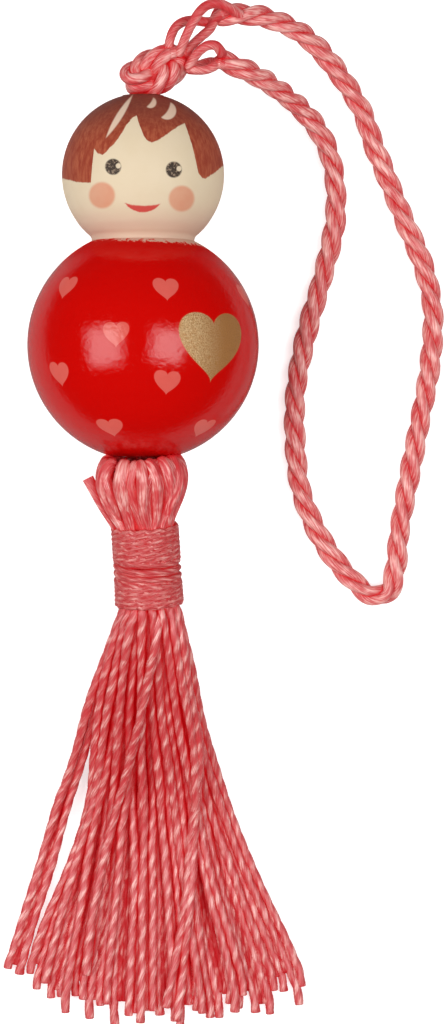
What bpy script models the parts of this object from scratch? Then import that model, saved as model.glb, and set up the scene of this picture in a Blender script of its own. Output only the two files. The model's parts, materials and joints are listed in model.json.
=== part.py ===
"""Kokeshi doll charm: two turned wooden beads on a silk cord, with a knot, a hanging loop and a bound tassel.

The doll lies face up on a flat surface at z = 0. Its axis runs along +Y, head towards +Y and face towards +Z.
Lengths are in metres.
"""

import math

import bmesh
import bpy
import numpy as np
from mathutils import Matrix, Vector

# Beads
BODY_RADIUS = 0.0150
BODY_FOOT = 0.0145  # from the body's centre to its flat foot
HEAD_RADIUS = 0.0105
HEAD_CROWN = 0.0102  # from the head's centre to its flat crown
CENTRE_DISTANCE = 0.0220
BORE_RADIUS = 0.0023
TENON_RADIUS = 0.0045
TENON_LENGTH = 0.0040
GAP = 0.0003  # between pieces that touch
BEAD_STEPS = 44
ARC_POINTS = 15

# Core cord, its end knot, and the drawn neck of cord between them
CORE_RADIUS = 0.0018
END_KNOT_RADIUS = 0.0022
KNOT_NECK_RADIUS = 0.0012

# Place of the doll
AXIS_X = -0.0013
BODY_Y = 0.0254
AXIS_Z = BODY_RADIUS

# Top knot
KNOT_LENGTH = 0.0100
KNOT_WIDTH = 0.0050
KNOT_DEPTH = 0.0066
KNOT_LEAN = math.radians(28)
KNOT_OFFSET = 0.0012  # from the doll's axis to the knot's middle

# Hanging cord, and the place by the knot where its strands open out and it swings
CORD_DIAMETER = 0.00285
CORD_POINT_SPACING = 0.0024
OPENING_RADIUS = 0.0022

# Tassel
TASSEL_DROP = 0.0053  # from the body's foot to the tassel's pivot
TASSEL_DIP = math.radians(8)
TASSEL_YAW = math.radians(2.4)
CROWN_RADIUS = 0.0050
MOUTH_ANGLE = math.radians(42)  # half the opening at the top of the crown, seen from the pivot
WAIST_RADIUS = 0.0033
COLLAR_START = 0.0032  # from the pivot, along the tassel
COLLAR_LENGTH = 0.0107
COLLAR_TOP_RADIUS = 0.0043
COLLAR_END_RADIUS = 0.0046
COLLAR_TURNS = 13
TAIL_DIAMETER = 0.0012

# Tassel strands
STRAND_DIAMETER = 0.0011
STRAND_CLEARANCE = 0.00016
STRAND_RINGS = 3
STRAND_LENGTH = 0.0572
STRAND_STATIONS = 13
UNEVEN_CUT = 0.0013  # how far a strand's cut end is from the even length
LEFT_SHORT = 0.0030  # how much shorter the outer strands on the left are
FAN_ANGLE = math.radians(17.0)
FAN_CENTRE = math.radians(0.8)
FAN_STRAY = math.radians(0.9)  # how far a strand strays from the even fan
FALL_LENGTH = 0.0320  # along the tassel, until the strands lie on the surface
SETTLING = 0.45  # share of its height that a strand on top of others keeps at each station

TURNED_STEPS = 32
SILK_RED = (0.55, 0.02, 0.03)
SILK_CORAL = (0.85, 0.22, 0.20)

HANGING_CORD_ROUTE = (
    (0.0086, 0.0680, 0.0150),
    (0.0110, 0.0682, 0.0146),
    (0.0136, 0.0682, 0.0133),
    (0.0167, 0.0675, 0.0113),
    (0.0195, 0.0663, 0.0091),
    (0.0220, 0.0643, 0.0068),
    (0.0242, 0.0618, 0.0050),
    (0.0261, 0.0592, 0.0036),
    (0.0277, 0.0564, 0.0026),
    (0.0289, 0.0529, 0.0019),
    (0.0303, 0.0495, 0.0016),
    (0.0331, 0.0426, 0.0015),
    (0.0356, 0.0366, 0.0015),
    (0.0369, 0.0304, 0.0015),
    (0.0365, 0.0231, 0.0015),
    (0.0351, 0.0154, 0.0015),
    (0.0337, 0.0081, 0.0015),
    (0.0325, 0.0015, 0.0015),
    (0.0320, -0.0034, 0.0015),
    (0.0310, -0.0068, 0.0015),
    (0.0286, -0.0072, 0.0015),
    (0.0262, -0.0052, 0.0015),
    (0.0238, -0.0024, 0.0015),
    (0.0213, 0.0017, 0.0015),
    (0.0193, 0.0070, 0.0015),
    (0.0186, 0.0134, 0.0015),
    (0.0187, 0.0200, 0.0015),
    (0.0201, 0.0274, 0.0015),
    (0.0222, 0.0348, 0.0015),
    (0.0238, 0.0415, 0.0015),
    (0.0240, 0.0464, 0.0016),
    (0.0234, 0.0505, 0.0019),
    (0.0219, 0.0540, 0.0030),
    (0.0197, 0.0566, 0.0050),
    (0.0172, 0.0585, 0.0080),
    (0.0144, 0.0601, 0.0112),
    (0.0120, 0.0611, 0.0136),
    (0.0102, 0.0617, 0.0145),
    (0.0087, 0.0623, 0.0149),
)

# Places that follow from the sizes above
def neck_from_body():
    """Distance from the body's centre to the plane where the two round beads cross."""
    spheres = CENTRE_DISTANCE**2 + BODY_RADIUS**2 - HEAD_RADIUS**2
    return spheres / (2 * CENTRE_DISTANCE)


BODY_CENTRE = Vector((AXIS_X, BODY_Y, AXIS_Z))
HEAD_CENTRE = BODY_CENTRE + Vector((0, CENTRE_DISTANCE, 0))
FOOT_Y = BODY_Y - BODY_FOOT
CROWN_Y = HEAD_CENTRE.y + HEAD_CROWN
PIVOT = Vector((AXIS_X, FOOT_Y - TASSEL_DROP, AXIS_Z))
STRAND_START = COLLAR_START + COLLAR_LENGTH + GAP
STRAND_RADIUS = STRAND_DIAMETER / 2
COLLAR_BORE = WAIST_RADIUS + GAP

PARTS = None


def clear_scene():
    for obj in list(bpy.data.objects):
        bpy.data.objects.remove(obj, do_unlink=True)


def new_material(name, colour, roughness, metallic=0.0):
    material = bpy.data.materials.new(name)
    material.use_nodes = True
    shader = material.node_tree.nodes["Principled BSDF"]
    shader.inputs["Base Color"].default_value = (*colour, 1.0)
    shader.inputs["Roughness"].default_value = roughness
    shader.inputs["Metallic"].default_value = metallic
    return material


def add_object(name, data, material, matrix=None):
    obj = bpy.data.objects.new(name, data)
    PARTS.objects.link(obj)
    data.materials.append(material)
    if matrix is not None:
        obj.matrix_world = matrix
    return obj


def arc(radius, first_angle, last_angle, points):
    """(distance from the axis, height) along a circle about the origin, angles from the axis."""
    angles = np.linspace(first_angle, last_angle, points)
    return [(radius * math.sin(a), radius * math.cos(a)) for a in angles]


def turned(name, profile, steps, material, matrix):
    """A profile turned about local Z. It closes on itself, unless both its ends are on the axis."""
    mesh = bpy.data.meshes.new(name)
    points = [(radius, 0.0, height) for radius, height in profile]
    on_axis = profile[0][0] == profile[-1][0] == 0
    edges = [(i, (i + 1) % len(points)) for i in range(len(points) - on_axis)]
    mesh.from_pydata(points, edges, [])
    obj = add_object(name, mesh, material, matrix)
    screw = obj.modifiers.new("Turn", "SCREW")
    screw.axis = "Z"
    screw.steps = steps
    screw.render_steps = steps
    screw.use_merge_vertices = True
    screw.merge_threshold = 0.00001
    screw.use_smooth_shade = True
    return obj


def along_doll(centre):
    """Local Z along the doll, towards its head."""
    return Matrix.Translation(centre) @ Matrix.Rotation(-math.pi / 2, 4, "X")


def along_tassel():
    """Local Z from the tassel's pivot back towards the doll, dipping towards the surface."""
    dip = Matrix.Rotation(TASSEL_DIP - math.pi / 2, 4, "X")
    yaw = Matrix.Rotation(TASSEL_YAW, 4, "Z")
    return Matrix.Translation(PIVOT) @ yaw @ dip


def smooth_route(points, spacing):
    """Evenly spaced points on a smooth curve through the given ones."""
    route = np.array(points)
    padded = np.vstack([2 * route[0] - route[1], route, 2 * route[-1] - route[-2]])
    curve = []
    for i in range(len(route) - 1):
        before, start, end, after = padded[i : i + 4]
        for t in np.linspace(0, 1, 12, endpoint=False):
            linear = (end - before) * t
            square = (2 * before - 5 * start + 4 * end - after) * t**2
            cube = (3 * start - before - 3 * end + after) * t**3
            curve.append(start + 0.5 * (linear + square + cube))
    curve.append(route[-1])
    curve = np.array(curve)
    reached = np.concatenate([[0], np.cumsum(np.linalg.norm(np.diff(curve, axis=0), axis=1))])
    count = max(4, round(reached[-1] / spacing) + 1)
    wanted = np.linspace(0, reached[-1], count)
    return np.column_stack([np.interp(wanted, reached, curve[:, k]) for k in range(3)])


def tube(name, points, diameter, material):
    curve = bpy.data.curves.new(name, "CURVE")
    curve.dimensions = "3D"
    curve.bevel_depth = diameter / 2
    curve.bevel_resolution = 2
    curve.use_fill_caps = True
    spline = curve.splines.new("POLY")
    spline.points.add(len(points) - 1)
    for place, point in zip(points, spline.points):
        point.co = (*place, 1.0)
    spline.use_smooth = True
    return add_object(name, curve, material)


# Beads
def make_body_bead(material):
    """Round body with a through bore, a flat foot and a socket under the head."""
    neck = neck_from_body() - GAP / 2
    foot_angle = math.pi - math.acos(BODY_FOOT / BODY_RADIUS)
    neck_angle = math.acos(neck / BODY_RADIUS)
    socket_radius = TENON_RADIUS + GAP
    socket_floor = neck - TENON_LENGTH - GAP
    profile = arc(BODY_RADIUS, neck_angle, foot_angle, ARC_POINTS)
    profile += [(BORE_RADIUS, -BODY_FOOT), (BORE_RADIUS, socket_floor)]
    profile += [(socket_radius, socket_floor), (socket_radius, neck)]
    return turned("body_bead", profile, BEAD_STEPS, material, along_doll(BODY_CENTRE))


def make_head_bead(material):
    """Round head with a through bore and a hollow tenon that seats in the body."""
    neck = neck_from_body() + GAP / 2 - CENTRE_DISTANCE
    crown_angle = math.acos(HEAD_CROWN / HEAD_RADIUS)
    neck_angle = math.acos(neck / HEAD_RADIUS)
    tenon_end = neck - TENON_LENGTH
    profile = arc(HEAD_RADIUS, crown_angle, neck_angle, ARC_POINTS)
    profile += [(TENON_RADIUS, neck), (TENON_RADIUS, tenon_end)]
    profile += [(BORE_RADIUS, tenon_end), (BORE_RADIUS, HEAD_CROWN)]
    return turned("head_bead", profile, BEAD_STEPS, material, along_doll(HEAD_CENTRE))


# Cord through the beads
def make_core_cord(material):
    points = [(AXIS_X, y, AXIS_Z) for y in np.linspace(CROWN_Y, FOOT_Y, 6)]
    return tube("core_cord", points, 2 * CORE_RADIUS, material)


def make_ball(name, size, matrix, material):
    mesh = bpy.data.meshes.new(name)
    cage = bmesh.new()
    bmesh.ops.create_uvsphere(cage, u_segments=20, v_segments=12, radius=0.5)
    bmesh.ops.scale(cage, vec=size, verts=cage.verts)
    cage.to_mesh(mesh)
    cage.free()
    mesh.shade_smooth()
    return add_object(name, mesh, material, matrix)


def make_end_knot(material):
    """Knot that the tassel is gathered over, with a neck of cord that reaches up to the core cord."""
    profile = [(0, TASSEL_DROP - GAP), (KNOT_NECK_RADIUS, TASSEL_DROP - GAP)]
    profile += arc(END_KNOT_RADIUS, math.asin(KNOT_NECK_RADIUS / END_KNOT_RADIUS), math.radians(165), 8)
    profile.append((0, -END_KNOT_RADIUS))
    return turned("core_end_knot", profile, TURNED_STEPS, material, along_tassel())


def knot_centre():
    """The leaning knot rests on the crown."""
    sine, cosine = math.sin(KNOT_LEAN), math.cos(KNOT_LEAN)
    reach = math.hypot(KNOT_LENGTH / 2 * sine, KNOT_WIDTH / 2 * cosine)
    return Vector((AXIS_X + KNOT_OFFSET, CROWN_Y + GAP + reach, AXIS_Z))


def make_top_knot(material):
    """Outer form of the wound knot that sits on the crown of the head."""
    matrix = Matrix.Translation(knot_centre()) @ Matrix.Rotation(KNOT_LEAN, 4, "Z")
    return make_ball("top_knot", (KNOT_LENGTH, KNOT_WIDTH, KNOT_DEPTH), matrix, material)


def make_opened_strands(material):
    """Outer form of the cord's strands where they open out beside the knot's end."""
    lean = Vector((math.cos(KNOT_LEAN), math.sin(KNOT_LEAN), 0))
    centre = knot_centre() + lean * (KNOT_LENGTH / 2 + GAP + OPENING_RADIUS)
    size = (2 * OPENING_RADIUS,) * 3
    return make_ball("opened_strands", size, Matrix.Translation(centre), material)


# Tassel
def make_tassel_head(material):
    """Gathered threads: a round crown about the end knot, drawn in to the bound waist."""
    seat = END_KNOT_RADIUS + GAP
    shoulder_angle = math.radians(118)
    waist_end = -COLLAR_START - COLLAR_LENGTH
    profile = arc(CROWN_RADIUS, MOUTH_ANGLE, shoulder_angle, ARC_POINTS)
    profile += [(WAIST_RADIUS, -COLLAR_START), (WAIST_RADIUS, waist_end)]
    hollow = arc(seat, math.radians(155), math.radians(90), 5)
    bore = hollow[0][0]
    profile += [(bore, waist_end)] + hollow
    return turned("tassel_head", profile, TURNED_STEPS, material, along_tassel())


def make_collar(material):
    """Binding wound round the waist, with a rounded turn of thread at each step."""
    pitch = COLLAR_LENGTH / COLLAR_TURNS
    crest = pitch / 4
    outer = []
    for turn in range(COLLAR_TURNS):
        share = (turn + 0.5) / COLLAR_TURNS
        radius = COLLAR_TOP_RADIUS + share * (COLLAR_END_RADIUS - COLLAR_TOP_RADIUS)
        top = -COLLAR_START - GAP - turn * pitch * (1 - GAP / COLLAR_LENGTH)
        outer += [(radius - crest, top), (radius, top - pitch / 2)]
    end = -COLLAR_START - COLLAR_LENGTH
    outer.append((COLLAR_END_RADIUS - crest, end))
    inner = [(COLLAR_BORE, end), (COLLAR_BORE, -COLLAR_START - GAP)]
    return turned("collar_binding", outer + inner, TURNED_STEPS, material, along_tassel())


def make_tail(material):
    """Cut end of the binding, which stands up beside the tassel's crown."""
    frame = along_tassel()
    stand_off = CROWN_RADIUS + GAP + TAIL_DIAMETER / 2
    angles = np.linspace(math.radians(128), math.radians(66), 7)
    points = [frame @ Vector((-stand_off * math.sin(a), 0, stand_off * math.cos(a))) for a in angles]
    return tube("binding_tail", points, TAIL_DIAMETER, material)


def packed_starts():
    """Strand centres across the collar's mouth, six round one in rings."""
    pitch = STRAND_DIAMETER + STRAND_CLEARANCE
    reach = range(-STRAND_RINGS, STRAND_RINGS + 1)
    cells = [(q, r) for r in reach for q in reach if abs(q + r) <= STRAND_RINGS]
    return np.array([(pitch * (q + r / 2), pitch * r * math.sqrt(3) / 2) for q, r in cells])


def spread_apart(places, least, floor):
    """Moves neighbours apart, half the shortfall each, and up off the surface."""
    first, second = np.triu_indices(len(places), 1)
    for _ in range(60):
        between = places[second] - places[first]
        distance = np.linalg.norm(between, axis=1)
        short = np.maximum(least - distance, 0)
        push = between / np.maximum(distance, 1e-9)[:, None] * (short / 2)[:, None]
        np.add.at(places, first, -push)
        np.add.at(places, second, push)
        places[:, 1] = np.maximum(places[:, 1], floor)


def cut_to_length(line, length):
    """The line up to the given length along it."""
    kept = [line[0]]
    for point in line[1:]:
        run = (point - kept[-1]).length
        if run >= length:
            kept.append(kept[-1].lerp(point, length / run))
            break
        kept.append(point)
        length -= run
    return kept


def height_left(share, height):
    """Share of the collar's height left at a share of the fall, from the tassel's dip down to level."""
    if share >= 1:
        return 0.0
    start_slope = math.tan(TASSEL_DIP) * FALL_LENGTH / height
    return (1 - share) ** 2 * (1 + (2 - start_slope) * share)


def lay_strands():
    """Centrelines that leave the collar packed together, fan out and come down on the surface."""
    frame = along_tassel()
    mouth = frame @ Vector((0, 0, -STRAND_START))
    starts = packed_starts()
    count = len(starts)
    order = np.argsort(np.argsort(starts[:, 0], kind="stable"))
    side = 2 * order / (count - 1) - 1
    stray = FAN_STRAY * np.sin(2.4 * np.arange(count))
    fan = np.tan(FAN_ANGLE * side + stray + FAN_CENTRE)
    lengths = STRAND_LENGTH + UNEVEN_CUT * np.sin(1.7 * np.arange(count))
    lengths -= LEFT_SHORT * np.maximum(-side, 0) ** 2
    step = (STRAND_LENGTH + UNEVEN_CUT) / (STRAND_STATIONS - 1)
    places = starts + np.array([mouth.x, mouth.z])
    lines = [[frame @ Vector((across, -up, -STRAND_START))] for across, up in starts]
    fallen = 1.0
    for station in range(1, STRAND_STATIONS):
        height = places[:, 1].mean()
        previous, fallen = fallen, height_left(station * step / FALL_LENGTH, mouth.z)
        sink = max(fallen / previous, SETTLING) if previous else SETTLING
        places[:, 0] += fan * step
        places[:, 1] = STRAND_RADIUS + (places[:, 1] - STRAND_RADIUS) * sink
        slope = (height - places[:, 1].mean()) / step
        least = (STRAND_DIAMETER + STRAND_CLEARANCE) * math.hypot(1, math.tan(FAN_ANGLE), slope)
        spread_apart(places, least, STRAND_RADIUS)
        for line, (across, up) in zip(lines, places):
            line.append(Vector((across, mouth.y - station * step, up)))
    return [cut_to_length(line, length) for line, length in zip(lines, lengths)]


def make_strands(material):
    for number, line in enumerate(lay_strands(), 1):
        tube(f"tassel_strand_{number:02d}", line, STRAND_DIAMETER, material)


def make_doll():
    global PARTS
    clear_scene()
    PARTS = bpy.data.collections.new("kokeshi_doll")
    bpy.context.scene.collection.children.link(PARTS)
    red_paint = new_material("red_lacquer", (0.62, 0.02, 0.03), 0.2)
    skin_paint = new_material("skin_paint", (0.93, 0.80, 0.66), 0.35)
    red_silk = new_material("red_silk", SILK_RED, 0.5)
    coral_silk = new_material("coral_silk", SILK_CORAL, 0.5)
    make_body_bead(red_paint)
    make_head_bead(skin_paint)
    make_core_cord(red_silk)
    make_end_knot(red_silk)
    make_top_knot(coral_silk)
    make_opened_strands(coral_silk)
    cord_points = smooth_route(HANGING_CORD_ROUTE, CORD_POINT_SPACING)
    tube("hanging_cord", cord_points, CORD_DIAMETER, coral_silk)
    make_tassel_head(coral_silk)
    make_collar(red_silk)
    make_tail(coral_silk)
    make_strands(coral_silk)


make_doll()
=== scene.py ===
"""Kokeshi doll charm: two painted wooden beads on a silk cord, with a knot, a loop and a bound tassel.

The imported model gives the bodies, places and sizes. This script makes the finished surfaces on it.
Lengths are in metres in the model's frame: +Y towards the head, +Z out of the face, the table at z = 0.
"""

import json
import math

import bpy
import numpy as np
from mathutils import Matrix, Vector


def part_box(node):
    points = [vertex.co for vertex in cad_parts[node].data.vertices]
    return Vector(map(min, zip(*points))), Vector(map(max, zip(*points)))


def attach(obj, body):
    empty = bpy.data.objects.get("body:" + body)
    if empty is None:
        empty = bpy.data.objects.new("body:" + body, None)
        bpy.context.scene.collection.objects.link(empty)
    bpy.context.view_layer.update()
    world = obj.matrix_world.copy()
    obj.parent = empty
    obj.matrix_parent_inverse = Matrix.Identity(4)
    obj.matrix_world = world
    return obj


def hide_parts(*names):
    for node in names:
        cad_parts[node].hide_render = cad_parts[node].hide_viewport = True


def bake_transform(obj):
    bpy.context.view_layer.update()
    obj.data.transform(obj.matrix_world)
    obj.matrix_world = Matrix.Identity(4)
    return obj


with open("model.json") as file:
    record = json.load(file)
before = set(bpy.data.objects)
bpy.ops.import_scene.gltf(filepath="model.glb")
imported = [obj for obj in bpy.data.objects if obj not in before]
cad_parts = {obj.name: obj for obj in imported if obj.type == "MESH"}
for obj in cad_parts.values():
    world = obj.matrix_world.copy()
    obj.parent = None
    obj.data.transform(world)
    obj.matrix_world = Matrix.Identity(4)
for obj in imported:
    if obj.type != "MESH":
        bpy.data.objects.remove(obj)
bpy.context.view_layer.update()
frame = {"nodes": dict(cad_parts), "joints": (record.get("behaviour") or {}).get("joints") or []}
MM = 0.001


# Stage -----------------------------------------------------------------------------------------

VIEW_MIDDLE = (0.0091, 0.0038)
VIEW_HEIGHT = 0.5115
LENS = 135.0

# Each soft box: place, the size of its face, and its power
SOFT_BOXES = {
    "soft_box_left": ((-0.375, -0.005, 0.50), (0.37, 0.37), 1.95),
    "soft_box_right": ((0.27, -0.005, 0.58), (0.34, 0.34), 1.72),
}
AIM = (-0.001, 0.025, 0.015)  # where the soft boxes point
FILL, FILL_IN_GLOSS = 0.47, 0.012  # strength of the surroundings, and of what glossy paint reflects of them
TABLE_HALF = 3.0
TABLE_WHITE = (0.85, 0.85, 0.85, 1.0)
TABLE_NEAR_IN_GLOSS = (0.36, 0.34, 0.34, 1.0)  # the table as glossy paint reflects it, close to the doll
TABLE_FAR_IN_GLOSS = (0.02, 0.02, 0.02, 1.0)
TABLE_NEAR, TABLE_FAR = 0.062, 0.085
TABLE_GLOW = 0.60


def make_camera():
    camera = bpy.data.cameras.new("camera")
    camera.lens = LENS
    camera.sensor_width = 36
    camera.clip_start = 0.01
    view = bpy.data.objects.new("camera", camera)
    view.location = (*VIEW_MIDDLE, VIEW_HEIGHT)
    bpy.context.scene.collection.objects.link(view)
    bpy.context.scene.camera = view


def make_soft_boxes():
    for name, (place, face, power) in SOFT_BOXES.items():
        light = bpy.data.lights.new(name, "AREA")
        light.shape = "RECTANGLE"
        light.size, light.size_y = face
        light.energy = power
        box = bpy.data.objects.new(name, light)
        box.location = place
        box.rotation_euler = (Vector(AIM) - Vector(place)).to_track_quat("-Z", "Y").to_euler()
        bpy.context.scene.collection.objects.link(box)


def make_surroundings():
    """A studio that fills the shadows softly and stays dark in the lacquer's reflections."""
    world = bpy.data.worlds.new("studio")
    bpy.context.scene.world = world
    world.use_nodes = True
    nodes, links = world.node_tree.nodes, world.node_tree.links
    ray = nodes.new("ShaderNodeLightPath")
    fill = nodes.new("ShaderNodeMapRange")
    fill.inputs["To Min"].default_value = FILL
    fill.inputs["To Max"].default_value = FILL_IN_GLOSS
    links.new(ray.outputs["Is Glossy Ray"], fill.inputs["Value"])
    links.new(fill.outputs[0], nodes["Background"].inputs["Strength"])
    nodes["Background"].inputs["Color"].default_value = (1.0, 0.99, 0.975, 1.0)


# Node helpers ------------------------------------------------------------------------------------


def put(tree, socket, value):
    if isinstance(value, bpy.types.NodeSocket):
        tree.links.new(value, socket)
    else:
        socket.default_value = value


def node(tree, kind, inputs=None, **settings):
    made = tree.nodes.new(kind)
    for key, value in settings.items():
        setattr(made, key, value)
    for key, value in (inputs or {}).items():
        put(tree, made.inputs[key], value)
    return made


def calc(tree, operation, *values):
    made = tree.nodes.new("ShaderNodeMath")
    made.operation = operation
    for socket, value in zip(made.inputs, values):
        put(tree, socket, value)
    return made.outputs[0]


def ease(tree, value, low, high):
    """0 below low, 1 above high, and smooth between them; low may be the larger."""
    made = node(tree, "ShaderNodeMapRange", interpolation_type="SMOOTHSTEP")
    for key, amount in (("Value", value), ("From Min", low), ("From Max", high)):
        put(tree, made.inputs[key], amount)
    return made.outputs[0]


def blend_colour(tree, share, below, above, mode="MIX"):
    made = node(tree, "ShaderNodeMix", data_type="RGBA", blend_type=mode)
    put(tree, made.inputs[0], share)
    put(tree, made.inputs[6], below)
    put(tree, made.inputs[7], above)
    return made.outputs[2]


def noise(tree, place, scale, detail=3.0, roughness=0.55, distortion=0.0):
    inputs = {"Vector": place, "Scale": scale, "Detail": detail, "Roughness": roughness}
    inputs["Distortion"] = distortion
    return node(tree, "ShaderNodeTexNoise", inputs).outputs["Fac"]


def scaled(tree, vector, scale):
    made = node(tree, "ShaderNodeVectorMath", operation="MULTIPLY")
    put(tree, made.inputs[0], vector)
    put(tree, made.inputs[1], scale)
    return made.outputs[0]


def new_group(name, inputs, outputs):
    """A shader node group with its input and output nodes; inputs map a name to (type, default)."""
    group = bpy.data.node_groups.new(name, "ShaderNodeTree")
    for label, (kind, default) in inputs.items():
        socket = group.interface.new_socket(label, in_out="INPUT", socket_type=f"NodeSocket{kind}")
        if default is not None:
            socket.default_value = default
    for label, kind in outputs.items():
        group.interface.new_socket(label, in_out="OUTPUT", socket_type=f"NodeSocket{kind}")
    return group, group.nodes.new("NodeGroupInput").outputs, group.nodes.new("NodeGroupOutput").inputs


def use_group(tree, group, **inputs):
    made = tree.nodes.new("ShaderNodeGroup")
    made.node_tree = group
    for key, value in inputs.items():
        put(tree, made.inputs[key.replace("_", " ")], value)
    return made.outputs


def new_material(name):
    material = bpy.data.materials.new(name)
    material.use_nodes = True
    tree = material.node_tree
    return material, tree, tree.nodes["Principled BSDF"]


def add_bump(tree, shader, height, distance, strength=1.0):
    bump = node(tree, "ShaderNodeBump", {"Height": height, "Distance": distance, "Strength": strength})
    tree.links.new(bump.outputs[0], shader.inputs["Normal"])


# Effect groups -----------------------------------------------------------------------------------


def make_bearings_group():
    """Longitude from the face and latitude towards the crown, in degrees, round a bead."""
    group, given, result = new_group(
        "Bead Bearings", {"Place": ("Vector", None)}, {"Longitude": "Float", "Latitude": "Float"}
    )
    parts = node(group, "ShaderNodeSeparateXYZ", {0: given["Place"]}).outputs
    around = calc(group, "ARCTAN2", parts["X"], parts["Z"])
    flat = calc(group, "POWER", calc(group, "ADD", calc(group, "MULTIPLY", parts["X"], parts["X"]),
                                     calc(group, "MULTIPLY", parts["Z"], parts["Z"])), 0.5)
    up = calc(group, "ARCTAN2", parts["Y"], flat)
    group.links.new(calc(group, "DEGREES", around), result["Longitude"])
    group.links.new(calc(group, "DEGREES", up), result["Latitude"])
    return group


def make_heart_group():
    """One heart, two units wide: Across and Up run from its middle."""
    group, given, result = new_group(
        "Heart Mark",
        {"Across": ("Float", 0.0), "Up": ("Float", 0.0), "Edge": ("Float", 0.08)},
        {"Mask": "Float"},
    )
    lobes = calc(group, "MULTIPLY", calc(group, "SQRT", calc(group, "ABSOLUTE", given["Across"])), 0.80)
    rise = calc(group, "SUBTRACT", given["Up"], lobes)
    reach = calc(group, "ADD", calc(group, "MULTIPLY", given["Across"], given["Across"]),
                 calc(group, "MULTIPLY", rise, rise))
    outside = calc(group, "ADD", 1.0, given["Edge"])
    inside = calc(group, "SUBTRACT", 1.0, given["Edge"])
    mask = ease(group, reach, outside, inside)
    group.links.new(mask, result["Mask"])
    return group


def make_heart_row_group(heart):
    """Hearts evenly spaced round one latitude. Sizes and places are in degrees of the bead."""
    group, given, result = new_group(
        "Heart Row",
        {
            "Longitude": ("Float", 0.0),
            "Latitude": ("Float", 0.0),
            "Count": ("Float", 6.0),
            "First": ("Float", 0.0),
            "Row": ("Float", 0.0),
            "Half Width": ("Float", 6.5),
            "Squatness": ("Float", 1.26),
            "Edge": ("Float", 0.08),
        },
        {"Mask": "Float"},
    )
    step = calc(group, "DIVIDE", 360.0, given["Count"])
    half = calc(group, "MULTIPLY", step, 0.5)
    shifted = calc(group, "ADD", calc(group, "SUBTRACT", given["Longitude"], given["First"]), half)
    local = calc(group, "SUBTRACT", calc(group, "FLOORED_MODULO", shifted, step), half)
    narrowing = calc(group, "COSINE", calc(group, "RADIANS", given["Row"]))
    across = calc(group, "DIVIDE", calc(group, "MULTIPLY", local, narrowing), given["Half Width"])
    above = calc(group, "SUBTRACT", given["Latitude"], given["Row"])
    up = calc(group, "DIVIDE", above, given["Half Width"])
    up = calc(group, "MULTIPLY_ADD", up, given["Squatness"], 0.215)
    mask = use_group(group, heart, Across=across, Up=up, Edge=given["Edge"])
    group.links.new(mask["Mask"], result["Mask"])
    return group


def make_disc_group():
    """A round spot of paint; its centre and size are shares of the bead's radius."""
    group, given, result = new_group(
        "Paint Spot",
        {
            "X": ("Float", 0.0),
            "Y": ("Float", 0.0),
            "Middle X": ("Float", 0.0),
            "Middle Y": ("Float", 0.0),
            "Radius": ("Float", 0.1),
            "Edge": ("Float", 0.008),
        },
        {"Mask": "Float"},
    )
    across = calc(group, "SUBTRACT", given["X"], given["Middle X"])
    up = calc(group, "SUBTRACT", given["Y"], given["Middle Y"])
    reach = calc(group, "SQRT", calc(group, "ADD", calc(group, "MULTIPLY", across, across),
                                     calc(group, "MULTIPLY", up, up)))
    mask = ease(group, reach, calc(group, "ADD", given["Radius"], given["Edge"]),
                calc(group, "SUBTRACT", given["Radius"], given["Edge"]))
    group.links.new(mask, result["Mask"])
    return group


def make_grain_group():
    """Brush streaks and fine mottling in a coat of paint over turned wood."""
    group, given, result = new_group(
        "Painted Wood",
        {"Place": ("Vector", None), "Streak Scale": ("Float", 400.0), "Mottle Scale": ("Float", 900.0)},
        {"Streaks": "Float", "Mottle": "Float", "Height": "Float"},
    )
    rings = scaled(group, given["Place"], (0.35, 2.2, 0.35))
    streaks = noise(group, rings, given["Streak Scale"], 4.0, 0.6)
    mottle = noise(group, given["Place"], given["Mottle Scale"], 3.0, 0.5)
    height = calc(group, "ADD", calc(group, "MULTIPLY", streaks, 0.7), calc(group, "MULTIPLY", mottle, 0.3))
    for label, value in (("Streaks", streaks), ("Mottle", mottle), ("Height", height)):
        group.links.new(value, result[label])
    return group


def make_filament_group():
    """Fine silk filaments that run round and along a strand, from its lay: Around in turns, Along in mm."""
    group, given, result = new_group(
        "Silk Filaments",
        {
            "Around": ("Float", 0.0),
            "Along": ("Float", 0.0),
            "Slant": ("Float", 0.0),
            "Fineness": ("Float", 6.0),
            "Stretch": ("Float", 0.35),
        },
        {"Filament": "Float", "Patch": "Float"},
    )
    slanted = calc(group, "MULTIPLY", given["Along"], given["Slant"])
    turned = calc(group, "MULTIPLY", calc(group, "ADD", given["Around"], slanted), math.tau)
    place = node(group, "ShaderNodeCombineXYZ", {
        "X": calc(group, "MULTIPLY", calc(group, "COSINE", turned), given["Fineness"]),
        "Y": calc(group, "MULTIPLY", calc(group, "SINE", turned), given["Fineness"]),
        "Z": calc(group, "MULTIPLY", given["Along"], given["Stretch"]),
    }).outputs[0]
    group.links.new(noise(group, place, 1.6, 2.0, 0.6), result["Filament"])
    group.links.new(noise(group, scaled(group, place, (0.2, 0.2, 1.6)), 1.0, 2.0, 0.5), result["Patch"])
    return group


BEARINGS = make_bearings_group()
HEART = make_heart_group()
HEART_ROW = make_heart_row_group(HEART)
SPOT = make_disc_group()
GRAIN = make_grain_group()
FILAMENTS = make_filament_group()


# Silk ----------------------------------------------------------------------------------------------

LAY = "Lay"  # the map that holds turns round a strand, and millimetres along it
SILK_CORAL = (0.66, 0.060, 0.068, 1.0)
# painted highlight: the light colour drawn on the silk's filaments and ply crests
SILK_PAINTED_HIGHLIGHT = (0.97, 0.52, 0.47, 1.0)
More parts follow.
